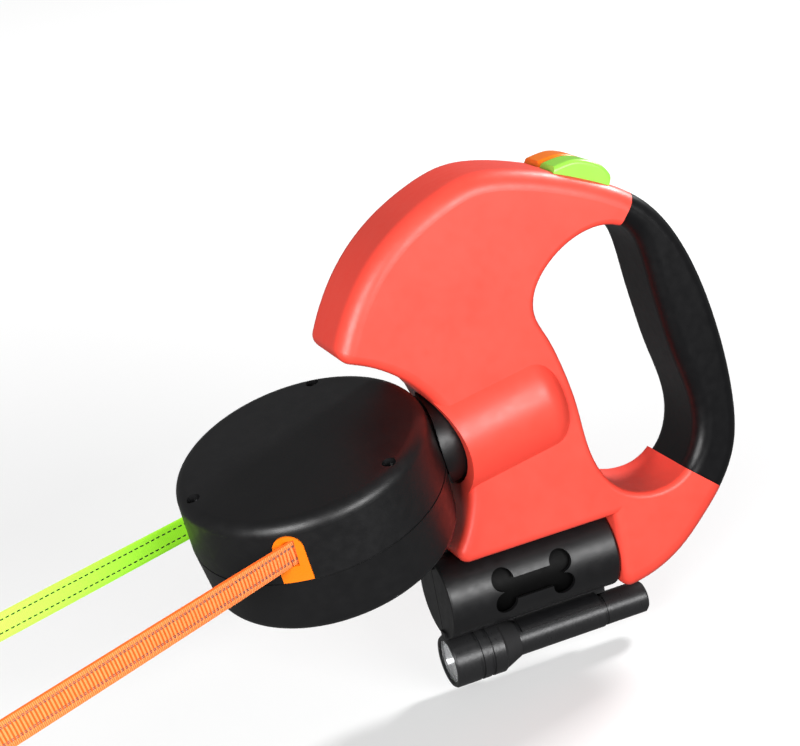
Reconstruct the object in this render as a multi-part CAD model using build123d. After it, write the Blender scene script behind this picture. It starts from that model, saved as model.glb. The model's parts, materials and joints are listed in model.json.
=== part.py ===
"""Twin-lead retractable dog leash: a D-handle, a swivelling drum with two spring spools, a bag holder
and a torch. Millimetres. The origin is the middle of the hand grip; -X is forwards, towards the dogs,
+Z is up, and Y=0 is the plane that the handle's two shells split on."""

from build123d import *
import math
import os

# ---------------------------------------------------------------- driving dimensions
HALF_BODY = 19.0            # half the handle's thickness
HALF_GRIP = 17.5            # half the rubber grip's thickness
WALL = 2.6                  # moulded wall of the handle
RIM_FILLET = 7.5            # rounding of the handle's outer edge
FRONT_FILLET = 4.0
HOLE_FILLET = 2.4           # rounding round the finger opening
GAP = 0.2                   # clearance between loose fits

DRUM_CENTRE = Vector(-162.3, 0, -38.1)
SWIVEL_TILT = 10.1          # the swivel axis dips forwards by this angle, degrees
DRUM_TURN = 80.3            # how far the drum is turned about the swivel from lying flat with the handle
DRUM_R = 52.2               # radius at the parting line
DRUM_R_FACE = 50.6          # radius near the flat faces, after the moulding draft
DRUM_HALF = 25.6            # half the drum's thickness
DRUM_WALL = 2.4
DRUM_FILLET = 5.5
CLEAR_R = 57.6              # radius of the hollow in the handle's front, round the drum's centre

TAPE_W = 10.6               # the lead's webbing
TAPE_T = 1.2
TAPE_N = 13.0               # height of each lead above or below the drum's parting plane
EXIT_ANGLE = 60.0           # where each lead leaves the rim, from straight ahead
LEAD_TWIST = 30.0           # how far each lead turns over its free length
ORANGE_LEAD = (140.0, Vector(1.0, 0.30, 0.10))      # free length and direction in the drum's frame
GREEN_LEAD = (122.0, Vector(1.0, -0.045, 0.0))
WOUND_R = 38.5              # outside of the tape wound on a spool

SPOOL_R = 40.5              # tips of the ratchet teeth
TOOTH_DEPTH = 2.7
TEETH = 36
HUB_R = 25.0
AXLE_R = 4.0
NECK_R = 19.0
NECK_HOLE_R = 15.0
STUB_R = 12.0
SEAT_R = 16.0               # outside of the swivel bush

HOLDER_R = 17.6             # bag holder
HOLDER_X = (-122.0, -46.8)
HOLDER_Z = -95.2
HOLDER_SEAM = 0.5
TORCH_Z = -124.4
TORCH_X = (-122.4, -32.0)
HEAD_R, TUBE_R, TAIL_R = 11.2, 7.2, 6.9
BUTTON_AT = (-35.35, 62.6)  # middle of the buttons on the crown, X and Z
BUTTON_SLOPE = 23.7
BUTTON_Y = 7.5
BUTTON_LENGTH = 24.8
SPRING_AT = -7.9             # the return spring, behind the middle of its button

# ---------------------------------------------------------------- frames
_tilt = math.radians(SWIVEL_TILT)
_turn = math.radians(DRUM_TURN)
FORWARD = Vector(-math.cos(_tilt), 0, -math.sin(_tilt))
UPWARD = Vector(-math.sin(_tilt), 0, math.cos(_tilt))
DRUM_AXIS = Vector(0, -1, 0) * math.cos(_turn) + UPWARD * math.sin(_turn)
DRUM = Plane(origin=DRUM_CENTRE, x_dir=FORWARD, z_dir=DRUM_AXIS)        # x ahead, z along the spools' axle
SWIVEL = Plane(origin=DRUM_CENTRE, x_dir=(0, 1, 0), z_dir=-FORWARD)     # z runs back into the handle
BUTTON = Plane(origin=(BUTTON_AT[0], 0, BUTTON_AT[1]), x_dir=(0, 1, 0),
               z_dir=(math.sin(math.radians(BUTTON_SLOPE)), 0, math.cos(math.radians(BUTTON_SLOPE))))
TURN_OVER = Rot(X=180)      # the drum's two halves are the same parts, turned over about the swivel axis
UP_FROM = (Align.CENTER, Align.CENTER, Align.MIN)


def in_drum(shape):
    return DRUM.location * shape


def on_swivel(shape):
    return SWIVEL.location * shape


def turned(profile):
    """A solid of revolution about the local Z axis from (radius, height) points."""
    return revolve(Plane.XZ * make_face(Polyline(*profile, close=True)), Axis.Z)


def tube(outer, inner, low, high):
    shape = Pos(0, 0, low) * Cylinder(outer, high - low, align=UP_FROM)
    if inner > 0:
        shape -= Pos(0, 0, low - 1) * Cylinder(inner, high - low + 2, align=UP_FROM)
    return shape


def side_plate(points, y_low, y_high):
    """A plate lying in the handle's plane, between two positions in Y."""
    face = Plane.XZ * make_face(Polyline(*points, close=True))
    return Pos(0, y_high, 0) * extrude(face, amount=y_high - y_low)


def along_y(radius, x, z, y_low, y_high):
    return Pos(x, y_low, z) * Rot(X=-90) * Cylinder(radius, y_high - y_low, align=UP_FROM)


def along_x(radius, z, x_low, x_high, y=0.0):
    return Pos(x_low, y, z) * Rot(Y=90) * Cylinder(radius, x_high - x_low, align=UP_FROM)


def box(x, y, z):
    """A box from three (low, high) pairs."""
    return Pos(x[0], y[0], z[0]) * Box(x[1] - x[0], y[1] - y[0], z[1] - z[0],
                                       align=(Align.MIN, Align.MIN, Align.MIN))


NEAR = box((-500, 300), (-200, 0), (-300, 300))
FAR = box((-500, 300), (0, 200), (-300, 300))


def coil(radius, wire, height, turns):
    """A round-wire compression spring standing on the local XY plane."""
    path = Helix(pitch=height / turns, height=height, radius=radius)
    start = Plane(origin=path @ 0, z_dir=path % 0)
    return sweep(start * Circle(wire / 2), path=path)


# ---------------------------------------------------------------- handle outline, as X and Z of the part
UNDERSIDE = -77.2           # the flat that the bag holder hangs from
STEP_X = -46.3              # upright face behind the bag holder
HEEL = (-46.3, -111.3)
CX, CZ = DRUM_CENTRE.X, DRUM_CENTRE.Z
FRONT_TOP_X = -145.6        # where the hollow for the drum ends, under the nose
CROWN = [(-147.6, 22.5), (-139.0, 38.6), (-127.8, 52.3), (-112.8, 63.8), (-98.7, 70.7), (-82.0, 75.1),
         (-66.0, 73.4), (-49.5, 68.3), (-33.0, 61.2), (-10.0, 46.0), (5.0, 21.0), (12.0, -4.0),
         (15.2, -25.0), (16.2, -44.0), (13.4, -65.0), (4.5, -81.0), (-5.8, -92.0), (-17.5, -102.0),
         (-32.5, -109.2)]
OPENING = [(-21.0, 38.2), (-30.5, 42.3), (-43.2, 41.0), (-56.2, 33.8), (-64.0, 24.4), (-65.9, 15.5),
           (-62.5, 5.4), (-58.2, -8.0), (-54.6, -26.0), (-53.0, -41.5), (-48.8, -56.8), (-40.6, -67.1),
           (-28.0, -71.9), (-15.6, -70.0), (-7.0, -62.0), (-2.9, -49.5), (-3.6, -37.0), (-7.4, -21.0),
           (-10.4, -5.0), (-12.6, 9.0), (-14.6, 24.0)]
GRIP_SIDE = [(-14.1, 52.8), (-26.2, 38.5), (-40.0, 20.0), (-40.0, -30.0), (-12.0, -66.5), (4.5, -81.0),
             (60.0, -81.0), (60.0, 60.0)]         # everything behind this line is rubber grip


def pushed(points, distance, closed=False):
    """The same points, each moved to the right of the way that the line runs there."""
    last = len(points) - 1
    moved = []
    for k, (x, z) in enumerate(points):
        before = points[k - 1] if closed or k > 0 else points[0]
        after = points[(k + 1) % len(points)] if closed or k < last else points[last]
        dx, dz = after[0] - before[0], after[1] - before[1]
        run = math.hypot(dx, dz)
        moved.append((x + dz / run * distance, z - dx / run * distance))
    return moved


def opening_face(grow=0.0):
    return make_face(Spline(*pushed(OPENING, grow, closed=True), periodic=True))


def plain_outline(inset=0.0):
    """The handle's side face without its finger opening, or a smaller one that lies inside it."""
    crown_points = pushed(CROWN, inset)
    heel = (STEP_X + inset, HEEL[1] + 1.3 * inset)
    floor = UNDERSIDE + inset
    reach = CLEAR_R + inset
    low = (CX + math.sqrt(reach**2 - (floor - CZ)**2), floor)
    top_x = FRONT_TOP_X + 1.2 * inset
    high = (top_x, CZ + math.sqrt(reach**2 - (top_x - CX)**2))
    middle = (CX + reach * math.cos(_tilt), CZ + reach * math.sin(_tilt))
    crown = Spline(*crown_points, heel)
    step = Line(heel, (heel[0], floor))
    under = Line((heel[0], floor), low)
    front = ThreePointArc(low, middle, high)
    nose = Line(high, crown_points[0])
    face = make_face(Wire([crown, step, under, front, nose]))
    if inset == 0.0:
        for (x, z), radius in ((low, 4.8), (high, 6.0)):
            corner = min(face.vertices(), key=lambda v: math.hypot(v.X - x, v.Y - z))
            face = fillet(corner, radius)
    return face


def side_edges(solid, half, short, long):
    return [e for e in solid.edges() if abs(abs(e.center().Y) - half) < 0.01 and short < e.length < long]


def blank(half):
    """The handle as one rounded solid, before it is hollowed and split."""
    solid = extrude(Plane.XZ * plain_outline(), amount=half, both=True)
    solid = fillet(side_edges(solid, half, 250, 900), RIM_FILLET)
    solid = fillet(side_edges(solid, half, 3, 250), FRONT_FILLET)
    solid -= extrude(Plane.XZ * opening_face(), amount=60, both=True)
    return solid


def round_opening(solid, half, radius):
    rim = [e for e in solid.edges() if abs(abs(e.center().Y) - half) < 0.01
           and -68 < e.center().X < 0 and -73 < e.center().Z < 43 and e.length > 20
           and e.geom_type == GeomType.BSPLINE]
    try:
        return fillet(rim, radius)
    except Exception:
        return chamfer(rim, radius * 0.6)


def barrel_bulge(radius, back):
    """The rounded housing of the swivel, standing proud of both side faces."""
    solid = on_swivel(tube(radius, 0, 40, back))
    edge = max(solid.edges().filter_by(GeomType.CIRCLE), key=lambda e: e.center().X)
    return fillet(edge, radius * 0.42)


def drum_sweep():
    return along_y(CLEAR_R, CX, CZ, -60, 60)


def inner_cavity():
    """The hollow inside the red shells, one wall in from the outline."""
    face = plain_outline(WALL) - opening_face(WALL)
    solid = extrude(Plane.XZ * face, amount=HALF_BODY - WALL, both=True)
    solid -= side_plate([(x + dx, z) for (x, z), dx in zip(GRIP_SIDE, [-4, -4, 0, 0, -4, -4, 0, 0])],
                        -60, 60)
    solid += barrel_bulge(26.0 - WALL, 102.4) - along_y(CLEAR_R + WALL, CX, CZ, -60, 60)
    return solid


SCREWS = [(-132.0, 34.0), (-88.0, 62.0), (-84.0, 18.0), (-100.0, -66.0), (-62.0, -68.0), (-30.0, -92.0)]


def button_slots():
    return [BUTTON.location * Pos(side * BUTTON_Y, 0, -1) * Box(13.0 + 2 * GAP, BUTTON_LENGTH + 2 * GAP, 22)
            for side in (-1, 1)]


def red_housing():
    """Both red shells as one hollow solid; each half is then cut from it."""
    solid = round_opening(blank(HALF_BODY), HALF_BODY, HOLE_FILLET)
    solid += barrel_bulge(26.0, 105.0) - drum_sweep()
    grip_cut = side_plate(GRIP_SIDE, -60, 60)
    spine = grip_spine()
    solid = solid - grip_cut
    solid -= inner_cavity()
    seat = tube(SEAT_R + 3.0, 0, 62.0, 82.0)
    for low, high in ((68.0, 70.0), (79.0, 81.0), (86.0, 88.5)):
        seat += tube(24.6, 0, low, high)
    solid += on_swivel(seat) - drum_sweep()
    for x, z in SCREWS:
        solid += along_y(4.2, x, z, -HALF_BODY + 1, HALF_BODY - 1)
    solid += spine
    solid -= on_swivel(tube(NECK_R + 1.2, 0, 40, 65.2))
    solid -= on_swivel(tube(SEAT_R + 0.05, 0, 66.4, 82.1))
    solid -= on_swivel(tube(STUB_R + 0.5, 0, 60, 89))
    for x, z in SCREWS:
        solid -= along_y(1.3, x, z, -14.0, HALF_BODY + 1)
        solid -= along_y(1.9, x, z, 3.0, HALF_BODY + 1)
        solid -= along_y(3.4, x, z, 13.0, HALF_BODY + 1)
    for slot in button_slots():
        solid -= slot
    solid -= box((-116, -56), (-1.7, 4.7), (-80, -74.4))
    return solid


def grip_spine():
    """The red core that runs up inside the rubber grip and joins the shells' two ends."""
    middle = plain_outline(4.5) - opening_face(4.0)
    solid = extrude(Plane.XZ * middle, amount=6.0, both=True)
    keep = side_plate([(-22, 52), (-34, 34), (-30, -56), (-18, -76), (4, -94), (60, -90), (60, 56)], -10, 10)
    return solid & keep


def grip_shell(side):
    """One half of the black rubber grip, wrapped round the core."""
    solid = extrude(Plane.XZ * plain_outline(), amount=HALF_GRIP, both=True)
    solid = fillet(side_edges(solid, HALF_GRIP, 250, 900), 5.5)
    solid -= extrude(Plane.XZ * opening_face(), amount=60, both=True)
    solid = round_opening(solid, HALF_GRIP, 6.5)
    solid = solid & side_plate(GRIP_SIDE, -60, 60)
    middle = plain_outline(4.4) - opening_face(3.9)
    solid -= extrude(Plane.XZ * middle, amount=6.1, both=True)
    return solid & (NEAR if side < 0 else FAR)


def housing_screws():
    parts = []
    for x, z in SCREWS:
        head = along_y(3.1, x, z, 13.05, 15.4) - along_y(1.0, x, z, 14.2, 16)
        parts.append(head + along_y(1.25, x, z, -10.0, 13.1))
    return parts


# ---------------------------------------------------------------- buttons and the brake
def button(side):
    """One thumb button with its stem and the slide that works the brake, as one moulding."""
    end = BUTTON_LENGTH / 2
    top = [(-end, 1.8), (-9.4, 3.7), (-4.6, 6.0), (1.5, 6.7), (7.2, 5.9), (end, 2.7)]
    sides = Polyline(top[-1], (end, -5.0), (-end, -5.0), top[0])
    wire = Wire([Spline(*top), *sides.edges()])
    # drawn looking along the local X axis, which is the part's Y; the local -Y runs towards the grip
    face = Plane(origin=(0, 0, 0), x_dir=(0, -1, 0), z_dir=(-1, 0, 0)) * make_face(wire)
    cap = extrude(face, amount=6.5, both=True)
    cap = fillet([e for e in cap.edges() if e.length > 25], 1.8)
    local = Pos(side * BUTTON_Y, 0, 0) * cap
    local -= Pos(side * BUTTON_Y, SPRING_AT, -5.0) * Cylinder(3.7, 7.0)
    return (BUTTON.location * local) + brake_slide(side)


def brake_slide(side):
    back = 6.0 if side > 0 else 2.6         # the rod sticks out further than the tube round it
    arm = [(-43.5, 61.5), (-33.5, 57.1), (-38.0, 50.3), (-57.0, 46.3), (-69.8, 38.0), (-69.8, 4.0),
           (-74.8, 0.0), (-75.2, 56.0)]
    heel, toe = (-57.8, -30.0), (-66.1 + back, -30.0)
    foot = [(-74.8, 6.0), (-69.8, 6.0), (-62.0, -10.0), heel, toe, (-73.5 + back, -17.0), (-74.8, -8.0)]
    touch = [heel, toe, (-72.9 + back, -18.2), (-61.0, -18.2)]
    low, high = (6.0, 9.0) if side > 0 else (-9.0, -6.0)
    inner = (0.3, 6.5) if side > 0 else (-6.5, -3.0)
    return side_plate(arm, low, high) + side_plate(foot, low, high) + side_plate(touch, *inner)


def button_spring(side):
    spring = coil(3.0, 0.7, 7.0, 5)
    return BUTTON.location * (Pos(side * BUTTON_Y, SPRING_AT, -9.05) * spring)


def spring_shelf(side):
    return BUTTON.location * (Pos(side * 11.0, SPRING_AT, -11.0) * Box(15.0, 7.6, 3.0))


def brake_tooth(side):
    """A pawl that slides towards the spool on its side of the divider."""
    if side > 0:
        tip = Polyline((40.9, 0), (43.6, -2.6), (43.6, 2.6), close=True)
        body = extrude(make_face(tip), amount=2.7)
        body = Pos(0, 0, 2.7) * body
        body += box((42.9, 43.8), (-2.6, 2.6), (0.0, 5.4))
        return in_drum(Rot(Z=180) * (body + along_x(2.2, 0, 43.0, 46.6)))
    body = Pos(0, 0, -5.4) * extrude(make_face(Polyline((40.9, 0), (43.6, -2.6), (43.6, 2.6), close=True)),
                                     amount=2.7)
    body += box((43.0, 46.6), (-2.6, 2.6), (-5.4, -2.7))
    return in_drum(Rot(Z=180) * body)


# ---------------------------------------------------------------- drum
def shell_profile(grow=0.0):
    """Half the drum's cross-section, from the axle to the rim and back along the parting plane."""
    r, f, h = DRUM_R + grow, DRUM_R_FACE + grow, DRUM_HALF + grow
    face = Plane.XZ * make_face(Polyline((0, 0), (r, 0), (f, h), (0, h), close=True))
    corner = max(face.vertices(), key=lambda v: v.X + 2 * v.Z)
    return fillet(corner, DRUM_FILLET)


def drum_body(grow=0.0):
    return revolve(shell_profile(grow), Axis.Z)


SCREW_RING = [(45.0 * math.cos(math.radians(a)), 45.0 * math.sin(math.radians(a))) for a in (0, 120, 240)]


def tape_path():
    """Where the tape leaves its spool, and the point where it crosses the rim, in the drum's frame."""
    a = math.radians(EXIT_ANGLE)
    rim = Vector(DRUM_R * math.cos(a), DRUM_R * math.sin(a), TAPE_N)
    back = math.acos(WOUND_R / DRUM_R)
    start = Vector(WOUND_R * math.cos(a + back), WOUND_R * math.sin(a + back), TAPE_N)
    return start, rim


def insert_prism(grow, low, high):
    """The arch-shaped lead guide, as a bar pointing out through the rim."""
    width, foot, crown = 6.0 + grow, 0.6 - grow, 14.6
    arch = Wire([Line((-width, foot), (width, foot)), Line((width, foot), (width, crown)),
                 ThreePointArc((width, crown), (0, crown + width), (-width, crown)),
                 Line((-width, crown), (-width, foot))])
    bar = extrude(Plane(origin=(low, 0, 0), x_dir=(0, 1, 0), z_dir=(1, 0, 0)) * make_face(arch), amount=high - low)
    return Rot(Z=EXIT_ANGLE) * bar


def tape_slot(thick, height):
    start, rim = tape_path()
    run = (rim - start).normalized()
    middle = Plane(origin=rim, x_dir=run, z_dir=(0, 0, 1))
    return middle.location * Box(34, thick, height)


def drum_shell():
    """The upper half of the drum's case, in the drum's frame; the lower half is the same part."""
    solid = drum_body()
    inner = revolve(Plane.XZ * make_face(Polyline((0, -1), (DRUM_R - DRUM_WALL, -1),
                    (DRUM_R_FACE - DRUM_WALL, DRUM_HALF - DRUM_WALL - 3), (DRUM_R_FACE - DRUM_WALL - 4,
                    DRUM_HALF - DRUM_WALL), (0, DRUM_HALF - DRUM_WALL), close=True)), Axis.Z)
    solid -= inner
    solid += tube(7.0, 0, 21.4, 24.0)
    for x, y in SCREW_RING:
        solid += Pos(x, y, 0) * Cylinder(3.4, DRUM_HALF - 1, align=UP_FROM)
    solid -= tube(AXLE_R, 0, -1, 23.4)
    for x, y in SCREW_RING:
        solid -= Pos(x, y, -1) * Cylinder(1.5, 22.6, align=UP_FROM)
        solid -= Pos(x, y, 20.0) * Cylinder(2.7, 10, align=UP_FROM)
    solid -= along_x(NECK_HOLE_R + GAP, 0, -70, -40)
    solid -= insert_prism(0.1, 44, 60)
    lip = tube(DRUM_R + 1, DRUM_R - 0.35, -0.01, 0.35)
    return solid - lip


def exit_insert():
    solid = insert_prism(0.0, 46.8, 60) & drum_body(0.5)
    return solid - tape_slot(3.2, TAPE_W + 0.6) - tube(48.9, 0, -1.0, 1.0)


def divider():
    plate = tube(48.6, AXLE_R + 1.2, -0.8, 0.8)
    plate -= box((-60, -37), (-4.0, 4.0), (-2, 2))
    plate -= box((-60, -43), (-18.5, 18.5), (-2, 2))
    for x, y in SCREW_RING:
        plate -= Pos(x, y, -2) * Cylinder(3.7, 4, align=UP_FROM)
    return plate


def spool():
    """Hub, ratchet flange and outer flange, for the upper half of the drum."""
    points = []
    for k in range(TEETH):
        a = 2 * math.pi * k / TEETH
        b = 2 * math.pi * (k + 0.5) / TEETH
        points += [(SPOOL_R * math.cos(b), SPOOL_R * math.sin(b)),
                   ((SPOOL_R - TOOTH_DEPTH) * math.cos(a + 2 * math.pi / TEETH),
                    (SPOOL_R - TOOTH_DEPTH) * math.sin(a + 2 * math.pi / TEETH))]
    wheel = Pos(0, 0, 2.6) * extrude(make_face(Polyline(*points, close=True)), amount=3.0)
    solid = wheel + tube(WOUND_R + 0.8, 0, 5.6, 6.6) + tube(HUB_R, 0, 6.6, 19.6)
    solid -= tube(HUB_R - 2.0, 0, 7.6, 20)
    solid += tube(8.0, 0, 2.6, 9.0)
    solid -= tube(AXLE_R + GAP, 0, 2, 25)
    return solid


def spool_cover():
    """The cap that keeps the power spring in and forms the tape's outer flange."""
    return tube(WOUND_R + 0.8, AXLE_R + 1.5, 19.7, 20.9) + tube(HUB_R - 2.2, HUB_R - 3.6, 18.4, 19.8)


def power_spring():
    """The flat spiral spring that winds the tape in, hooked on the axle and on the hub."""
    turns, thick, steps = 6.5, 0.5, 30
    total = int(turns * steps)
    inner, outer = [], []
    for k in range(total + 1):
        a = 2 * math.pi * k / steps
        r = 5.4 + (HUB_R - 2.6 - 5.4) * k / total
        inner.append((r * math.cos(a), r * math.sin(a)))
        outer.append(((r + thick) * math.cos(a), (r + thick) * math.sin(a)))
    return Pos(0, 0, 9.6) * extrude(make_face(Polyline(*inner, *reversed(outer), close=True)), amount=7.6)


def spring_arbor():
    """The slotted sleeve on the axle that holds the springs' inner ends."""
    return tube(5.2, AXLE_R, 9.3, 21.2) - box((4.2, 6), (-0.4, 0.4), (9, 20))


def wound_tape():
    return tube(WOUND_R - 0.9, HUB_R + 0.05, TAPE_N - TAPE_W / 2, TAPE_N + TAPE_W / 2)


def drum_neck():
    """The hollow swivel shaft: its lip is trapped in the drum's rim and its end is held in the handle."""
    rim = in_drum(tube(DRUM_R + 0.3, 0, -40, 40))
    collar = on_swivel(tube(NECK_R, 0, 44.0, 63.5)) - rim
    inner = on_swivel(tube(NECK_HOLE_R, 0, 45.0, 63.5) + tube(16.4, 0, 44.6, 46.6) + tube(STUB_R, 0, 63.4, 88.0))
    bore = tube(6.2, 0, 47.0, 90.0) + tube(7.4, 0, 40.0, 47.2)
    groove = tube(STUB_R + 1, STUB_R - 1.2, 83.0, 84.6)
    return collar + inner - on_swivel(bore) - on_swivel(groove)


def retainer():
    ring = tube(14.6, STUB_R - 1.1, 83.1, 84.5) - box((-3.5, 3.5), (0, 20), (80, 90))
    return on_swivel(ring)


def swivel_bush():
    return on_swivel(tube(SEAT_R, STUB_R + 0.08, 66.5, 82.0))


def tape_section(at, run, lean):
    """The tape's cross-section at one point, leaning by an angle about the way it runs."""
    level = Vector(0, 0, 1) - run * run.dot(Vector(0, 0, 1))
    level = level.normalized()
    across = run.cross(level).normalized()
    angle = math.radians(lean)
    wide = level * math.cos(angle) - (across if across.Y > 0 else -across) * math.sin(angle)
    frame = Plane(origin=at, x_dir=wide, z_dir=run)
    return frame.location * Rectangle(TAPE_W, TAPE_T)


def lead_end(length, aim):
    """Frame at the lead's far end: origin, direction and width direction, in the drum's frame."""
    _, rim = tape_path()
    run = aim.normalized()
    level = (Vector(0, 0, 1) - run * run.dot(Vector(0, 0, 1))).normalized()
    across = run.cross(level).normalized()
    if across.Y < 0:
        across = -across
    angle = math.radians(LEAD_TWIST)
    return Plane(origin=rim + run * length, x_dir=level * math.cos(angle) - across * math.sin(angle), z_dir=run)


def lead(length, aim):
    """Webbing from the wound spool, out through the rim and on to the snap hook."""
    start, rim = tape_path()
    first, run = (rim - start).normalized(), aim.normalized()
    sections = [tape_section(start, first, 0), tape_section(rim - first * 2.0, first, 0),
                tape_section(rim + run * 2.0, run, 0)]
    steps = 8
    for k in range(1, steps + 1):
        sections.append(tape_section(rim + run * (2.0 + (length - 1.6) * k / steps), run, LEAD_TWIST * k / steps))
    solid = loft(sections, ruled=True)
    loop = lead_end(length, aim).location * (Pos(0, 0, 2.4) * Rot(Y=90) *
                                            (Cylinder(2.9, TAPE_W - 0.3) - Cylinder(1.75, 40)))
    return solid + loop


# ---------------------------------------------------------------- snap hooks, drawn along local Z
def hook_eye():
    bar = Pos(0, 0, 2.4) * Rot(Y=90) * Cylinder(1.6, 19)
    posts = [Pos(side * 8.2, 0, 2.4) * Cylinder(1.6, 8.6, align=UP_FROM) for side in (-1, 1)]
    bridge = Pos(0, 0, 11.0) * Rot(Y=90) * Cylinder(1.9, 19.2)
    collar = tube(3.9, 0, 9.0, 13.2)
    return bar + posts[0] + posts[1] + bridge + collar - tube(2.15, 0, 6, 16)


def hook_body():
    stem = tube(1.95, 0, 7.2, 15.0) + tube(3.2, 0, 6.6, 8.4) + tube(3.4, 0, 13.5, 16.0)
    barrel = tube(4.2, 0, 15.5, 33.0)
    hollow = tube(1.9, 0, 16.6, 34.0) + box((-1.3, 1.3), (0, 6), (19.4, 30.5))
    path = Spline((-3.2, 0, 24.0), (-8.6, 0, 31.0), (-10.6, 0, 40.0), (-7.6, 0, 49.0), (0.2, 0, 51.5),
                  tangents=[(-1, 0, 1), (1, 0, -0.25)])
    hook = sweep(Plane(origin=path @ 0, z_dir=path % 0) * Circle(2.2), path=path)
    tip = Pos(0, 0, 46.6) * Cylinder(2.3, 6.6, align=UP_FROM)
    return stem + barrel + hook + tip - hollow


def hook_bolt():
    rod = tube(1.65, 0, 26.0, 46.3)
    knob = box((-1.1, 1.1), (0, 6.4), (26.4, 30.2)) + Pos(0, 6.2, 28.3) * Rot(X=-90) * Cylinder(2.4, 2.0)
    return rod + knob


def hook_spring():
    return Pos(0, 0, 17.0) * coil(1.35, 0.4, 8.7, 5)


# ---------------------------------------------------------------- bag holder
def holder_half(side):
    """One half of the bag holder's tube with its end walls; the near half has the dispensing slot."""
    x0, x1 = HOLDER_X
    solid = along_x(HOLDER_R, HOLDER_Z, x0, x1)
    solid = fillet(solid.edges().filter_by(GeomType.CIRCLE), 1.0)
    solid -= along_x(HOLDER_R - 1.8, HOLDER_Z, x0 + 2.0, x1 - 2.0)
    if side > 0:
        solid = solid & FAR
        rail = box((-114, -58), (0.2, 4.4), (-79.5, -74.8))
        solid += rail - along_x(HOLDER_R - 1.8, HOLDER_Z, x0, x1)
        foot = box((-98.5, -48.5), (0.3, 8.0), (-121.0, -110.0)) - along_x(HOLDER_R - 0.4, HOLDER_Z, x0, x1)
        foot -= torch_turned([(-8.0, 0), (-8.0, 12.2), (22.6, 12.2), (23.4, 11.2), (31.6, 8.3), (31.6, 0)])
        open_side = Polyline((0, 0), (-23.0, 19.3), (-30, 19.3), (-30, -30), (19.3, -30), (19.3, -23.0), close=True)
        clip = along_x(TUBE_R + 1.9, TORCH_Z, -90.6, -54.0)
        clip -= Pos(-100, 0, TORCH_Z) * extrude(Plane.YZ * make_face(open_side), amount=60)
        return solid + (foot + clip - along_x(TUBE_R + 0.05, TORCH_Z, -110, -40))
    solid = solid & box((-500, 300), (-200, -HOLDER_SEAM), (-300, 300))
    solid -= slot_cutter()
    knuckle = along_x(2.0, HOLDER_Z + HOLDER_R - 2.0, x0 - 1.0, x0 + 6.0, y=-2.2)
    latch = box((x0 - 1.0, x0 + 1.0), (-4.5, -0.1), (HOLDER_Z - HOLDER_R + 0.3, HOLDER_Z - HOLDER_R + 3.4))
    return (solid + knuckle + latch) - along_x(HOLDER_R - 1.8, HOLDER_Z, x0 + 2.0, x1 - 2.0)


def slot_cutter():
    """Dog-bone slot that a bag is pulled through, facing sideways and a little up."""
    shape = Pos(0, 0) * Rectangle(27.0, 9.2)
    for x in (-12.9, 12.9):
        for y in (-4.9, 4.9):
            shape += Pos(x, y) * Circle(4.8)
    cutter = extrude(shape, amount=30)
    lift = math.radians(4)
    frame = Plane(origin=(-85.5, 0, HOLDER_Z), x_dir=(1, 0, 0), z_dir=(0, -math.cos(lift), math.sin(lift)))
    return frame.location * cutter


def bag_roll():
    return along_x(14.6, HOLDER_Z, -118.0, -51.0) - along_x(6.6, HOLDER_Z, -130, -40)


def roll_core():
    return along_x(6.5, HOLDER_Z, -119.0, -50.0) - along_x(5.4, HOLDER_Z, -130, -40)


def holder_pegs():
    return along_x(5.1, HOLDER_Z, -120.0, -112.0) + along_x(5.1, HOLDER_Z, -57.0, -48.8)


# ---------------------------------------------------------------- torch, drawn along X
def torch_turned(profile):
    """Points are (distance back from the torch's front, radius)."""
    face = Plane.XZ * make_face(Polyline(*[(TORCH_X[0] + d, r) for d, r in profile], close=True))
    return Pos(0, 0, TORCH_Z) * revolve(face, Axis.X)


def torch_head():
    rim = [(0, 9.4), (0, 10.6), (0.8, HEAD_R), (10.6, HEAD_R), (10.6, 10.5), (12.2, 10.5), (12.2, HEAD_R),
           (15.4, HEAD_R), (15.4, 10.5), (17.0, 10.5), (17.0, HEAD_R), (22.0, HEAD_R), (23.0, 10.5),
           (30.5, 7.5), (30.5, 5.6), (24.0, 5.6), (23.0, 9.0), (2.6, 9.0), (2.6, 9.4)]
    return torch_turned(rim)


def torch_pieces():
    return {
        "torch_head": torch_head(),
        "torch_lens": torch_turned([(1.2, 0), (1.2, 9.3), (2.6, 9.3), (2.6, 0)]),
        "torch_reflector": torch_turned([(2.8, 7.8), (2.8, 8.9), (14.0, 5.6), (14.0, 2.0), (12.0, 2.0)]),
        "torch_led": torch_turned([(11.0, 0), (12.0, 1.6), (14.1, 1.9), (14.1, 8.8), (15.3, 8.8), (15.3, 0)]),
        "torch_barrel": torch_turned([(24.2, 5.4), (24.2, 5.58), (30.6, 5.58), (30.6, TUBE_R), (69.6, TUBE_R),
                                      (69.6, 6.5), (71.0, 6.5), (71.0, 5.4)]),
        "torch_battery": torch_turned([(24.0, 0), (24.0, 1.8), (25.0, 1.8), (25.0, 5.2), (68.5, 5.2), (68.5, 0)]),
        "torch_tail_cap": torch_turned([(71.1, 5.4), (71.1, TAIL_R), (89.4, TAIL_R), (90.4, TAIL_R - 0.9),
                                        (90.4, 4.4), (85.0, 4.4), (85.0, 5.3), (77.5, 5.3), (77.5, 3.6),
                                        (76.5, 3.6), (76.5, 5.4)]),
        "torch_switch": torch_turned([(83.8, 0), (83.8, 4.9), (84.9, 4.9), (84.9, 4.2), (89.0, 4.2), (89.8, 3.2),
                                      (90.0, 0)]),
        "torch_spring": Pos(TORCH_X[0] + 69.0, 0, TORCH_Z) * Rot(Y=90) * coil(3.0, 0.6, 8.0, 4),
    }


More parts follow.
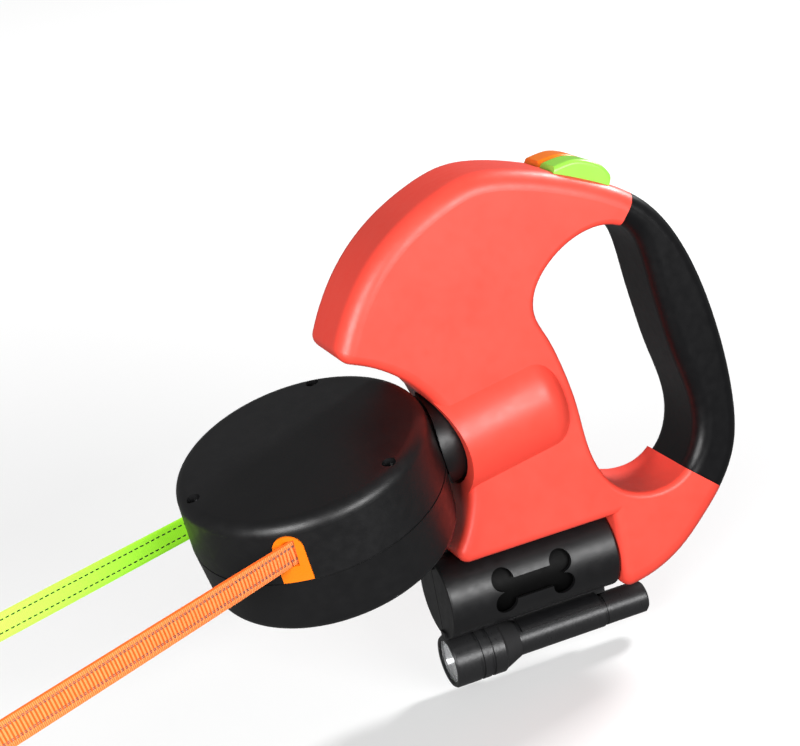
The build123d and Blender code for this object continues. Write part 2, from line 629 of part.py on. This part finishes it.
# ---------------------------------------------------------------- all the pieces
def handle_pieces():
    red = red_housing()
    for side in (-1, 1):
        red += spring_shelf(side)
    return {
        "housing_near": red & NEAR,
        "housing_far": red & FAR,
        "grip_near": grip_shell(-1),
        "grip_far": grip_shell(1),
        "housing_screws": housing_screws(),
        "swivel_bush": swivel_bush(),
        "button_green": button(-1),
        "button_orange": button(1),
        "button_spring_green": button_spring(-1),
        "button_spring_orange": button_spring(1),
        "push_tube": on_swivel(tube(5.5, 2.8, 46.8, 93.0)),
        "push_rod": on_swivel(tube(2.5, 0, 46.8, 97.0)),
        "holder_rear": holder_half(1),
        "holder_front": holder_half(-1),
        "holder_pegs": (holder_pegs() & FAR),
        "bag_roll": bag_roll(),
        "bag_roll_core": roll_core(),
    }


def drum_pieces():
    screws = [Pos(x, y, 0) * (tube(2.5, 0, 20.1, 22.2) + tube(1.4, 0, -16.0, 20.2) - box((-0.4, 0.4), (-3, 3), (21.4, 23)))
              for x, y in SCREW_RING]
    pieces = {
        "drum_shell_upper": in_drum(drum_shell()),
        "drum_shell_lower": in_drum(TURN_OVER * drum_shell()),
        "drum_screws": [in_drum(s) for s in screws],
        "drum_neck": drum_neck(),
        "neck_retainer": retainer(),
        "drum_axle": in_drum(tube(AXLE_R - 0.02, 0, -23.2, 23.2)),
        "divider_plate": in_drum(divider()),
        "brake_tooth_orange": brake_tooth(1),
        "brake_tooth_green": brake_tooth(-1),
    }
    for name, flip, (length, aim) in (("orange", Location(), ORANGE_LEAD), ("green", TURN_OVER, GREEN_LEAD)):
        end = lead_end(length, aim).location
        local = {"exit_insert": exit_insert(), "spool": spool(), "spool_cover": spool_cover(),
                 "power_spring": power_spring(), "spring_arbor": spring_arbor(), "wound_tape": wound_tape(),
                 "lead": lead(length, aim), "hook_eye": end * hook_eye(), "hook_body": end * hook_body(),
                 "hook_bolt": end * hook_bolt(), "hook_spring": end * hook_spring()}
        for piece, shape in local.items():
            pieces[piece + "_" + name] = in_drum(flip * shape)
    return pieces


def save(pieces):
    os.makedirs("parts", exist_ok=True)
    for name, shape in pieces.items():
        if isinstance(shape, list):
            shape = Compound(children=shape)
        export_step(shape, "parts/" + name + ".step")
        bb = shape.bounding_box()
        print(name, len(shape.solids()), round(shape.volume), [round(v, 1) for v in (*bb.min, *bb.max)])


if __name__ == "__main__":
    save(drum_pieces())
    save(torch_pieces())
    save(handle_pieces())
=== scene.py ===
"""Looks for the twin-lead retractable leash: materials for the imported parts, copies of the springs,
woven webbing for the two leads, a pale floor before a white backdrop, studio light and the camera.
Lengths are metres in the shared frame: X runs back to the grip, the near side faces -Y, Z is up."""

import json
import math

import bmesh
import bpy
from mathutils import Matrix, Vector


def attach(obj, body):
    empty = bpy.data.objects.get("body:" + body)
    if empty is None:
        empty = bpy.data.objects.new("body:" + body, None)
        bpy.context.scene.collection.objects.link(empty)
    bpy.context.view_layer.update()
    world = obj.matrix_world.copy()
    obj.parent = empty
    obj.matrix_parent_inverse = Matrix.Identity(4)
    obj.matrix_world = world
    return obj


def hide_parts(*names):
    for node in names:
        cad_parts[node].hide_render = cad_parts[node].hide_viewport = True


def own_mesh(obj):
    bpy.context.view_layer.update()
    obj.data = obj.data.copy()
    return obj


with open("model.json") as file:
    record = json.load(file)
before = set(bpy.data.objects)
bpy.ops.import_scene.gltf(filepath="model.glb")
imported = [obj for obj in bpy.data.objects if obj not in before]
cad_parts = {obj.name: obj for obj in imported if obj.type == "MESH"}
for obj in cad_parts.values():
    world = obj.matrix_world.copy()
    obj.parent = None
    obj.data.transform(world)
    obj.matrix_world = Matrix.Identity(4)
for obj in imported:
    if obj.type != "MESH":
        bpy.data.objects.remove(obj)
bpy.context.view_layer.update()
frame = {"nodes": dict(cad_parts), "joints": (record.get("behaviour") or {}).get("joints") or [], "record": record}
NODES = frame["nodes"]
JOINTS = {joint["name"]: joint for joint in frame["joints"]}
MM = 0.001
WHITE = (1, 1, 1, 1)


def show(name, data):
    """Puts a mesh, a camera, a light or a curve into the scene under a name."""
    obj = bpy.data.objects.new(name, data)
    bpy.context.scene.collection.objects.link(obj)
    return obj


# ------------------------------------------------------------------ camera
CAMERA_AT = Vector((-343.3, -711.4, 244.3)) * MM
CAMERA_AZIMUTH, CAMERA_ELEVATION, CAMERA_ROLL = -17.5, 18.0, 11.0
LENS, SENSOR = 90.0, 36.0
CLIP_NEAR, CLIP_FAR = 0.02, 50


def camera_axes():
    """The camera's right, up and back directions."""
    angles = (CAMERA_AZIMUTH, CAMERA_ELEVATION, CAMERA_ROLL)
    turn, lift, roll = (math.radians(angle) for angle in angles)
    side = math.cos(lift)
    back = Vector((math.sin(turn) * side, -math.cos(turn) * side, math.sin(lift)))
    level = Vector((math.cos(turn), math.sin(turn), 0))
    upright = back.cross(level)
    right = level * math.cos(roll) - upright * math.sin(roll)
    return right, level * math.sin(roll) + upright * math.cos(roll), back


def make_camera():
    data = bpy.data.cameras.new("camera")
    data.lens, data.sensor_width = LENS, SENSOR
    data.clip_start, data.clip_end = CLIP_NEAR, CLIP_FAR
    camera = show("camera", data)
    turn = Matrix(camera_axes()).transposed().to_4x4()
    camera.matrix_world = Matrix.Translation(CAMERA_AT) @ turn
    bpy.context.scene.camera = camera


make_camera()

# ------------------------------------------------------------------ materials
NOISE_LOW, NOISE_HIGH = 0.3, 0.7  # nearly all of a noise texture's values lie between these
COAT_ROUGHNESS, SHEEN_ROUGHNESS = 0.25, 0.5


class Shader:
    """A Principled material whose nodes are added one call at a time."""

    def __init__(self, name, colour, roughness, metallic=0.0, specular=0.5, coat=0.0, sheen=0.0):
        self.material = bpy.data.materials.new(name)
        self.material.use_nodes = True
        self.tree = self.material.node_tree
        self.shader = self.tree.nodes["Principled BSDF"]
        self.colour = colour
        self.roughness = roughness
        for key, value in (("Base Color", (*colour, 1)), ("Roughness", roughness),
                           ("Metallic", metallic), ("Specular IOR Level", specular),
                           ("Coat Weight", coat), ("Coat Roughness", COAT_ROUGHNESS),
                           ("Sheen Weight", sheen), ("Sheen Roughness", SHEEN_ROUGHNESS)):
            self.shader.inputs[key].default_value = value
        self.where = self.add("ShaderNodeTexCoord").outputs["Object"]
        self.height = None

    def add(self, kind, **values):
        node = self.tree.nodes.new(kind)
        for key, value in values.items():
            setattr(node, key, value)
        return node

    def link(self, output, target):
        self.tree.links.new(output, target)

    def noise(self, scale, detail=3.0, squeeze=(1, 1, 1)):
        """Noise with cells of about 1/scale metres, made finer along an axis by squeeze."""
        place = self.add("ShaderNodeMapping")
        place.inputs["Scale"].default_value = squeeze
        self.link(self.where, place.inputs["Vector"])
        noise = self.add("ShaderNodeTexNoise")
        noise.inputs["Scale"].default_value = scale
        noise.inputs["Detail"].default_value = detail
        self.link(place.outputs["Vector"], noise.inputs["Vector"])
        return noise.outputs["Fac"]

    def ranged(self, value, low, high, start=NOISE_LOW, end=NOISE_HIGH):
        """Low to high, as the value goes from start to end."""
        node = self.add("ShaderNodeMapRange")
        node.inputs["From Min"].default_value = start
        node.inputs["From Max"].default_value = end
        node.inputs["To Min"].default_value = low
        node.inputs["To Max"].default_value = high
        self.link(value, node.inputs["Value"])
        return node.outputs["Result"]

    def mottle(self, value, other, amount):
        """Shades the base colour towards another where the value is high."""
        mix = self.add("ShaderNodeMix", data_type="RGBA")
        mix.inputs["A"].default_value = (*self.colour, 1)
        mix.inputs["B"].default_value = (*other, 1)
        self.link(self.ranged(value, 0.0, amount), mix.inputs["Factor"])
        self.link(mix.outputs["Result"], self.shader.inputs["Base Color"])

    def rough(self, value, spread):
        """Varies the roughness by the spread either way."""
        low, high = self.roughness - spread, self.roughness + spread
        self.link(self.ranged(value, low, high), self.shader.inputs["Roughness"])

    def bump(self, value, depth, strength):
        """Raises the surface by depth metres where the value is high, on top of any bump so far."""
        node = self.add("ShaderNodeBump")
        node.inputs["Strength"].default_value = strength
        node.inputs["Distance"].default_value = depth
        self.link(value, node.inputs["Height"])
        if self.height is not None:
            self.link(self.height, node.inputs["Normal"])
        self.height = node.outputs["Normal"]
        self.link(self.height, self.shader.inputs["Normal"])

    def along_x(self):
        split = self.add("ShaderNodeSeparateXYZ")
        self.link(self.where, split.inputs["Vector"])
        return split.outputs["X"]

    def fade(self, other, start, end):
        """Painted light: turns the mottled base colour into another between two places along X."""
        mix = self.add("ShaderNodeMix", data_type="RGBA")
        base = self.shader.inputs["Base Color"]
        self.link(base.links[0].from_socket, mix.inputs["A"])
        mix.inputs["B"].default_value = (*other, 1)
        self.link(self.ranged(self.along_x(), 0.0, 1.0, start, end), mix.inputs["Factor"])
        self.link(mix.outputs["Result"], base)

    def matt_band(self, centre, half, roughness):
        """A rougher ring that reaches half its width either way from a place along X."""
        inside = self.add("ShaderNodeMath", operation="COMPARE")
        self.link(self.along_x(), inside.inputs[0])
        inside.inputs[1].default_value, inside.inputs[2].default_value = centre, half
        mix = self.add("ShaderNodeMix", data_type="FLOAT")
        rough = self.shader.inputs["Roughness"]
        self.link(rough.links[0].from_socket, mix.inputs["A"])
        mix.inputs["B"].default_value = roughness
        self.link(inside.outputs["Value"], mix.inputs["Factor"])
        self.link(mix.outputs["Result"], rough)


def scaled(colour, times, plus=0.0):
    """A colour made lighter or darker, and no brighter than white."""
    return tuple(min(1.0, channel * times + plus) for channel in colour)


def moulded(name, colour, roughness, grain=0.035 * MM, specular=0.5, coat=0.0, wear=None):
    """Moulded plastic: spark-eroded grain, faint flow marks and uneven gloss."""
    s = Shader(name, colour, roughness, specular=specular, coat=coat)
    s.bump(s.noise(2600, detail=2), depth=grain, strength=0.55)
    s.bump(s.noise(60, detail=2), depth=0.25 * MM, strength=0.12)
    s.rough(s.noise(240, detail=4), spread=0.05)
    s.mottle(s.noise(45, detail=5), wear or scaled(colour, 1.12, 0.002), amount=0.6)
    return s.material


def rubber(name, colour, roughness):
    """Thermoplastic rubber: dull, with a fine powdery grain."""
    s = Shader(name, colour, roughness, specular=0.26)
    s.bump(s.noise(2200, detail=3), depth=0.02 * MM, strength=0.3)
    s.rough(s.noise(300, detail=4), spread=0.04)
    s.mottle(s.noise(60, detail=5), scaled(colour, 1.3, 0.002), amount=0.5)
    return s.material


def metal(name, colour, roughness, squeeze=(1, 1, 1), metallic=1.0, matt=None):
    """Metal with fine marks, turned round an axis it is squeezed along, and a matt ring if asked."""
    s = Shader(name, colour, roughness, metallic=metallic)
    s.bump(s.noise(900, 3, squeeze), depth=0.03 * MM, strength=0.4)
    s.rough(s.noise(500, 4, squeeze), spread=0.08)
    s.mottle(s.noise(90, detail=4), scaled(colour, 0.82), amount=0.7)
    if matt:
        s.matt_band(*matt)
    return s.material


PAINTED_LIGHT_START, PAINTED_LIGHT_END = -215 * MM, -310 * MM  # painted light: the green lead grows paler between these, along X


def yarn(name, colour, other, far=None):
    """Woven polyester: fine fibres, faint sheen, uneven dye, and if asked painted light that makes it paler far
    from the drum.
    """
    s = Shader(name, colour, 0.75, specular=0.15, sheen=0.06)
    s.bump(s.noise(3500, detail=3), depth=0.08 * MM, strength=0.6)
    s.mottle(s.noise(900, detail=5), other, amount=0.8)
    # far is the paler colour of the painted light, away from the drum
    if far:
        s.fade(far, PAINTED_LIGHT_START, PAINTED_LIGHT_END)
    return s.material


def glass(name):
    """Clear acrylic, a little scuffed."""
    s = Shader(name, (0.93, 0.94, 0.95), 0.12)
    s.shader.inputs["Transmission Weight"].default_value = 0.85
    s.shader.inputs["IOR"].default_value = 1.49
    s.bump(s.noise(500, detail=2), depth=0.01 * MM, strength=0.2)
    s.rough(s.noise(200, detail=3), spread=0.03)
    return s.material


def card(name, colour):
    """Brown board with its fibres showing."""
    s = Shader(name, colour, 0.85, specular=0.2)
    s.bump(s.noise(1200, detail=5), depth=0.06 * MM, strength=0.5)
    s.mottle(s.noise(400, detail=5), scaled(colour, 0.75), amount=0.8)
    return s.material


TORCH_BAND = (-96.0 * MM, 4.1 * MM, 0.62)  # centre along X, half width, roughness

MATERIALS = {
    "red_shell": moulded("red_shell", (0.90, 0.066, 0.042), 0.40, wear=(0.92, 0.082, 0.054)),
    "black_grip": rubber("black_grip", (0.0035, 0.0035, 0.004), 0.33),
    "black_plastic": moulded("black_plastic", (0.0045, 0.0045, 0.005), 0.40, grain=0.04 * MM),
    "acetal": moulded("acetal", (0.75, 0.74, 0.70), 0.35),
    "steel": metal("steel", (0.62, 0.62, 0.63), 0.28),
    "spring_steel": metal("spring_steel", (0.34, 0.35, 0.38), 0.35),
    "orange_plastic": moulded("orange_plastic", (0.97, 0.20, 0.004), 0.33,
                              wear=(0.98, 0.24, 0.008)),
    "green_plastic": moulded("green_plastic", (0.28, 0.70, 0.05), 0.33, wear=(0.34, 0.74, 0.09)),
    "orange_webbing": yarn("orange_webbing", (0.86, 0.115, 0.010), (0.92, 0.155, 0.02)),
    # far: painted light, the green lead paler away from the drum
    "green_webbing": yarn("green_webbing", (0.38, 0.93, 0.025), (0.44, 0.96, 0.05),
                          far=(0.64, 0.98, 0.12)),
    # The bag film's own black, made darker still and nearly unreflective as painted shade for the deep slot
    "black_film": moulded("black_film", (0.0015, 0.0015, 0.0015), 0.5, specular=0.08),
    "cardboard": card("cardboard", (0.42, 0.30, 0.18)),
    "anodised": metal("anodised", (0.022, 0.022, 0.023), 0.34, squeeze=(5, 1, 1), metallic=0.3,
                      matt=TORCH_BAND),
    "reflector": metal("reflector", (0.86, 0.86, 0.87), 0.12),
    "lens": glass("lens"),
    "led_board": moulded("led_board", (0.80, 0.74, 0.34), 0.5),
    "battery": moulded("battery", (0.05, 0.05, 0.06), 0.3, coat=0.4),
    "black_rubber": rubber("black_rubber", (0.016, 0.016, 0.016), 0.55),
}
RIB_LIGHT = yarn("orange_rib", (0.98, 0.33, 0.11), (0.95, 0.26, 0.07))
STITCH_GREY = yarn("stitch_grey", (0.13, 0.085, 0.09), (0.20, 0.12, 0.12))
STITCH_BLACK = yarn("stitch_black", (0.008, 0.025, 0.008), (0.016, 0.04, 0.016))
# far: painted light, the green rib yarn paler away from the drum
GREEN_PALE = yarn("green_rib", (0.34, 0.93, 0.03), (0.28, 0.88, 0.02), far=(0.70, 0.99, 0.16))


def dress(node, slot):
    """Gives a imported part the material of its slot."""
    obj = NODES[node]
    obj.data.materials.clear()
    obj.data.materials.append(MATERIALS[slot])


for part in frame["record"]["subparts"]:
    dress(part["node"], part["material_slot"])

# ------------------------------------------------------------------ springs


def shortening_coil(node, body):
    """A copy of a spring, fixed to a body in place of the imported one."""
    original = NODES[node]
    coil = show(node + "_coil", original.data.copy())
    coil.matrix_world = original.matrix_world.copy()
    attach(coil, body)
    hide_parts(node)
    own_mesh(coil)
    return coil


HOOK_COILS = {}
for name in ("orange", "green"):
    shortening_coil("button_spring_" + name, "handle")
    HOOK_COILS[name] = shortening_coil("hook_spring_" + name, "hook_" + name)

# ------------------------------------------------------------------ webbing
TAPE_W = 10.6 * MM
TAPE_T = 1.2 * MM
WOVEN_T = TAPE_T - 0.15 * MM  # the tape between its ribs
STEP = 0.25 * MM  # from one ring of a swept strip to the next
STRIP_FACES = 16  # across each side of a strip

# Places across the tape run from 0 in the middle to 1 at its edges.
EDGE_POWER = 7
RIB_BAND, OUTER_RIB = 0.36, 0.6  # within the band the ribs have their full height
RIB_POWER = 1.2
GROOVE_AT, GROOVE_HALF, GROOVE_DEPTH = 0.46, 0.09, 0.8
FULL_PITCH = 0.56  # outside this the colour bands repeat at half the pitch
BAND_START, BAND_END, SELVEDGE = 0.3, 0.68, 0.97

STITCH_PROFILE = ((-1, 0.2), (-0.6, 1), (0.6, 1), (1, 0.2))  # share of half its length, height
STITCH_PROUD = 0.16 * MM
STITCH_LIFT = 0.15  # of a rib's height
STITCH_TOP = 0.7  # of its width at the foot
STITCH_WAIST, STITCH_SWELL = 0.6, 0.4

WEAVES = {
    "orange": {
        "rib": 0.20 * MM, "pitch": 1.5 * MM, "rows": (-0.57, -0.46, 0.46, 0.57),
        "stitch_pitch": 1.75 * MM, "stitch_long": 1.2 * MM, "stitch_thick": 0.32 * MM,
        "yarns": [MATERIALS["orange_webbing"], RIB_LIGHT, STITCH_GREY],
    },
    "green": {
        "rib": 0.06 * MM, "pitch": 0.75 * MM, "rows": (-0.46, 0.46),
        "stitch_pitch": 2.5 * MM, "stitch_long": 1.6 * MM, "stitch_thick": 0.62 * MM,
        "yarns": [MATERIALS["green_webbing"], GREEN_PALE, STITCH_BLACK],
    },
}
RIB_YARN, STITCH_YARN = 1, 2  # places in a weave's yarns, after the ground yarn


def along(points, step):
    """Places every step metres along a line of points: (point, direction, distance)."""
    places, gone, target = [], 0.0, 0.0
    for a, b in zip(points, points[1:]):
        length = (b - a).length
        while target <= gone + length + 1e-9 and length > 0:
            places.append((a.lerp(b, (target - gone) / length), (b - a).normalized(), target))
            target += step
        gone += length
    return places


class Strip:
    """A woven strip swept along places, with cross ribs and stitches on both faces."""

    def __init__(self, name, places, wide_at, weave):
        self.name, self.places, self.weave = name, places, weave
        last = max(1, len(places) - 1)
        self.wides = [wide_at(k / last, run) for k, (_, run, _) in enumerate(places)]
        self.mesh = bmesh.new()

    def height(self, u, v):
        """Half thickness at a place across and along: rounded edges, ribs, stitch grooves."""
        rib = self.weave["rib"]
        edge = math.sqrt(max(0.0, 1 - abs(u) ** EDGE_POWER))
        middle = 1.0 if abs(u) < RIB_BAND else OUTER_RIB
        wave = abs(math.sin(math.pi * v / self.weave["pitch"])) ** RIB_POWER
        groove = math.exp(-((abs(u) - GROOVE_AT) / GROOVE_HALF) ** 2)
        return edge * (WOVEN_T / 2 + rib * middle * wave - groove * rib * GROOVE_DEPTH)

    def yarn_at(self, u, v):
        """The yarn that shows at a place across and along: bands of rib yarn on the ground."""
        share = v / self.weave["pitch"] % 1.0
        if abs(u) >= FULL_PITCH:
            share = share * 2 % 1.0
        return RIB_YARN if BAND_START < share < BAND_END and abs(u) < SELVEDGE else 0

    def skin(self, a, b, j, material):
        """One face between two rings."""
        after = (j + 1) % len(a)
        self.mesh.faces.new((a[j], a[after], b[after], b[j])).material_index = material

    def close(self, rings, material):
        """Caps both ends of a row of rings."""
        self.mesh.faces.new(list(reversed(rings[0]))).material_index = material
        self.mesh.faces.new(rings[-1]).material_index = material

    def sweep(self):
        rings = []
        for (point, run, v), wide in zip(self.places, self.wides):
            out = run.cross(wide)
            ring = []
            for face in (1, -1):
                for j in range(STRIP_FACES + 1):
                    u = (2 * j / STRIP_FACES - 1) * face
                    co = point + wide * (u * TAPE_W / 2) + out * (face * self.height(u, v))
                    ring.append(self.mesh.verts.new(co))
            rings.append(ring)
        for (_, _, v), a, b in zip(self.places, rings, rings[1:]):
            for j in range(len(a)):
                u = 2 * (j % (STRIP_FACES + 1)) / STRIP_FACES - 1
                self.skin(a, b, j, self.yarn_at(u, v))
        self.close(rings, 0)

    def stitch(self, point, run, wide, out):
        """One stitch: a little rounded bar lying on the face."""
        long, thick = self.weave["stitch_long"], self.weave["stitch_thick"]
        rings = []
        for s, h in STITCH_PROFILE:
            centre = point + run * (s * long / 2)
            half = thick / 2 * (STITCH_WAIST + STITCH_SWELL * h)
            foot, top = -STITCH_PROUD, STITCH_PROUD * h
            section = ((-1, foot), (-STITCH_TOP, top), (STITCH_TOP, top), (1, foot))
            rings.append([self.mesh.verts.new(centre + wide * (w * half) + out * z)
                          for w, z in section])
        for a, b in zip(rings, rings[1:]):
            for j in range(len(a)):
                self.skin(a, b, j, STITCH_YARN)
        self.close(rings, STITCH_YARN)

    def stitches(self):
        """The rows of stitches on both faces."""
        jump = max(1, round(self.weave["stitch_pitch"] / STEP))
        lift = WOVEN_T / 2 + self.weave["rib"] * STITCH_LIFT
        for k in range(jump, len(self.places) - 1, jump):
            (point, run, _), wide = self.places[k], self.wides[k]
            for face in (1, -1):
                out = run.cross(wide) * face
                for row in self.weave["rows"]:
                    self.stitch(point + wide * (row * TAPE_W / 2) + out * lift, run, wide, out)

    def finish(self):
        bmesh.ops.recalc_face_normals(self.mesh, faces=self.mesh.faces)
        data = bpy.data.meshes.new(self.name)
        self.mesh.to_mesh(data)
        self.mesh.free()
        for polygon in data.polygons:
            polygon.use_smooth = True
        for material in self.weave["yarns"]:
            data.materials.append(material)
        return show(self.name, data)


# ------------------------------------------------------------------ leads
DRUM_CENTRE = Vector(JOINTS["drum_swivel"]["pos_m"])
SPOOL_AXIS = Vector(JOINTS["spool_orange_spin"]["axis"])
AHEAD = -Vector(JOINTS["drum_swivel"]["axis"])
ACROSS = SPOOL_AXIS.cross(AHEAD)
RIM_R, WOUND_R = 52.2 * MM, 38.5 * MM  # where a lead leaves the drum, and its winding
TAPE_N = 13.0 * MM  # from the drum's middle plane, along the spools' axle
EXIT_ANGLE = math.radians(60)
TWIST = math.radians(30)  # how far a lead turns over its length
ROUTE_RUNS, ROUTE_STEPS = 6, 40

# The length from the drum to the hook, the way it runs in the drum's frame, and its side.
LEADS = {
    "orange": (140.0 * MM, Vector((1.0, 0.30, 0.10)), 1),
    "green": (122.0 * MM, Vector((1.0, -0.045, 0.0)), -1),
}

# The sewn end round the hook's bar, in millimetres ahead of the lead's end and out from it.
BAR_AHEAD, BEND_R = 2.4, 2.35
LOOP_START = [(-1.0, 0.0), (0.4, -1.3)]
LOOP_END = [(0.4, 1.9), (-3.0, 1.45), (-8.0, 1.4), (-14.0, 1.4)]


def from_drum(v, side, point=True):
    """A point or direction of the drum's frame, turned over for the green side."""
    out = AHEAD * v[0] + ACROSS * (v[1] * side) + SPOOL_AXIS * (v[2] * side)
    return out + DRUM_CENTRE if point else out


def drum_place(radius, angle):
    """A place in the drum's frame, at the height of a lead."""
    return Vector((radius * math.cos(angle), radius * math.sin(angle), TAPE_N))


def straight_route(start, end):
    """Points read back from a NURBS spline between two points."""
    curve = bpy.data.curves.new("route", "CURVE")
    curve.dimensions = "3D"
    spline = curve.splines.new("NURBS")
    spline.points.add(ROUTE_RUNS)
    for k, point in enumerate(spline.points):
        point.co = (*start.lerp(end, k / ROUTE_RUNS), 1)
    spline.order_u = 3
    spline.use_endpoint_u = True
    curve.resolution_u = ROUTE_STEPS
    obj = show("route", curve)
    mesh = bpy.data.meshes.new_from_object(obj)
    points = [v.co.copy() for v in mesh.vertices]
    bpy.data.objects.remove(obj)
    return points


class Lead:
    """Where one lead runs, and the pieces of webbing that follow it."""

    def __init__(self, colour):
        self.colour = colour
        self.length, aim, self.side = LEADS[colour]
        run = aim.normalized()
        self.level = (Vector((0, 0, 1)) - run * run.z).normalized()
        self.across = run.cross(self.level).normalized()
        if self.across.y < 0:
            self.across = -self.across
        rim = drum_place(RIM_R, EXIT_ANGLE)
        wound = drum_place(WOUND_R, EXIT_ANGLE + math.acos(WOUND_R / RIM_R))
        self.start = from_drum(rim, self.side)
        self.end = from_drum(rim + run * self.length, self.side)
        self.wound = from_drum(wound, self.side)
        self.ahead = from_drum(run, self.side, point=False)

    def wide_between(self, first, last):
        """The strip's width direction at a share of its length, from one lean to another."""

        def wide_at(share, run):
            lean = first + (last - first) * share
            wide = from_drum(self.level * math.cos(lean) - self.across * math.sin(lean),
                             self.side, point=False)
            return (wide - run * wide.dot(run)).normalized()

        return wide_at

    def strip(self, kind, points, first, last):
        """A piece of this lead's webbing along a line of points."""
        strip = Strip("lead_%s_%s" % (self.colour, kind), along(points, STEP),
                      self.wide_between(first, last), WEAVES[self.colour])
        strip.sweep()
        strip.stitches()
        return strip.finish()

    def hook_loop(self):
        """The tape's end, turned round the hook's bar and sewn back on itself."""
        out = self.ahead.cross(self.wide_between(TWIST, TWIST)(0, self.ahead))
        turns = [math.radians(angle) for angle in range(0, 181, 20)]
        bend = [(BAR_AHEAD + BEND_R * math.sin(a), -BEND_R * math.cos(a)) for a in turns]
        points = [self.end + self.ahead * (z * MM) + out * (y * MM)
                  for z, y in LOOP_START + bend + LOOP_END]
        return self.strip("loop", points, TWIST, TWIST)


def make_lead(colour):
    """The free lead, its end inside the drum, and its sewn loop at the hook."""
    plan = Lead(colour)
    start, length = plan.start, plan.length
    route = straight_route(start, plan.end)
    lead = plan.strip("web", route, 0.0, TWIST)
    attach(lead, "drum")
    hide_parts("lead_" + colour)
    inside = plan.strip("inner", [plan.wound, start], 0.0, 0.0)
    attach(inside, "drum")
    loop = plan.hook_loop()
    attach(loop, "drum")
    hook = [NODES[name + "_" + colour] for name in ("hook_eye", "hook_body", "hook_bolt")]
    hook.append(HOOK_COILS[colour])
    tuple(start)


for name in LEADS:
    make_lead(name)

# ------------------------------------------------------------------ floor and light
FLOOR_Z, FLOOR_HALF = -0.140, 6.0
FLOOR_GREY, FLOOR_SPECULAR = 0.55, 0.1
GLOW_NEAR, GLOW_FAR = 0.36, 0.85  # the floor's own light, near the part and away from it
GLOW_START, GLOW_END = 0.45, 1.6  # distances from the origin between which it grows
DOME_RADIUS, DOME_GREY, DOME_GLOW = 5.5, 0.5, 0.95
PAPER_ROUGHNESS = 0.9
WORLD_LIGHT = 0.16

# Each area light's place, what it points at, its size and its power in watts.
LIGHTS = {
    "key": ((0.45, -1.90, 0.42), (-0.08, 0, -0.03), (1.1, 0.75), 34),
    "top": ((1.30, 0.50, 1.00), (-0.10, 0, -0.05), (0.35, 0.35), 34),
    "left": ((-1.3, -1.2, 0.40), (-0.12, 0, -0.03), (0.8, 0.8), 32),
}


def glowing(name, grey, specular):
    """Grey paper that can give off white light."""
    paper = Shader(name, (grey, grey, grey), PAPER_ROUGHNESS, specular=specular)
    paper.shader.inputs["Emission Color"].default_value = WHITE
    return paper


def make_floor():
    """A pale floor that brightens away from the part and isn't mirrored in it."""
    mesh = bpy.data.meshes.new("floor")
    corners = [(x * FLOOR_HALF, y * FLOOR_HALF, FLOOR_Z)
               for x, y in ((-1, -1), (1, -1), (1, 1), (-1, 1))]
    mesh.from_pydata(corners, [], [(0, 1, 2, 3)])
    floor = show("floor", mesh)
    paper = glowing("floor_paper", FLOOR_GREY, FLOOR_SPECULAR)
    spread = paper.add("ShaderNodeVectorMath", operation="LENGTH")
    paper.link(paper.where, spread.inputs[0])
    glow = paper.ranged(spread.outputs["Value"], GLOW_NEAR, GLOW_FAR, GLOW_START, GLOW_END)
    paper.link(glow, paper.shader.inputs["Emission Strength"])
    mesh.materials.append(paper.material)
    floor.visible_diffuse = floor.visible_glossy = False


def make_backdrop():
    """A white dome far behind everything, which neither lights the part nor shades it."""
    mesh = bpy.data.meshes.new("backdrop")
    ball = bmesh.new()
    bmesh.ops.create_uvsphere(ball, u_segments=48, v_segments=24, radius=DOME_RADIUS)
    ball.to_mesh(mesh)
    ball.free()
    dome = show("backdrop", mesh)
    cloth = glowing("backdrop", DOME_GREY, 0.0)
    cloth.shader.inputs["Emission Strength"].default_value = DOME_GLOW
    mesh.materials.append(cloth.material)
    dome.visible_diffuse = dome.visible_glossy = False
    dome.visible_transmission = dome.visible_shadow = False


def make_world():
    world = bpy.data.worlds.new("studio")
    bpy.context.scene.world = world
    world.use_nodes = True
    background = world.node_tree.nodes["Background"]
    background.inputs["Color"].default_value = WHITE
    background.inputs["Strength"].default_value = WORLD_LIGHT


def area_light(name, at, aim, size, power):
    data = bpy.data.lights.new(name, "AREA")
    data.shape = "RECTANGLE"
    data.size, data.size_y = size
    data.energy = power
    light = show(name, data)
    light.location = at
    light.rotation_euler = (Vector(aim) - Vector(at)).to_track_quat("-Z", "Y").to_euler()


make_floor()
make_backdrop()
make_world()
for name, facts in LIGHTS.items():
    area_light(name, *facts)
bpy.context.scene.view_settings.view_transform = "Standard"
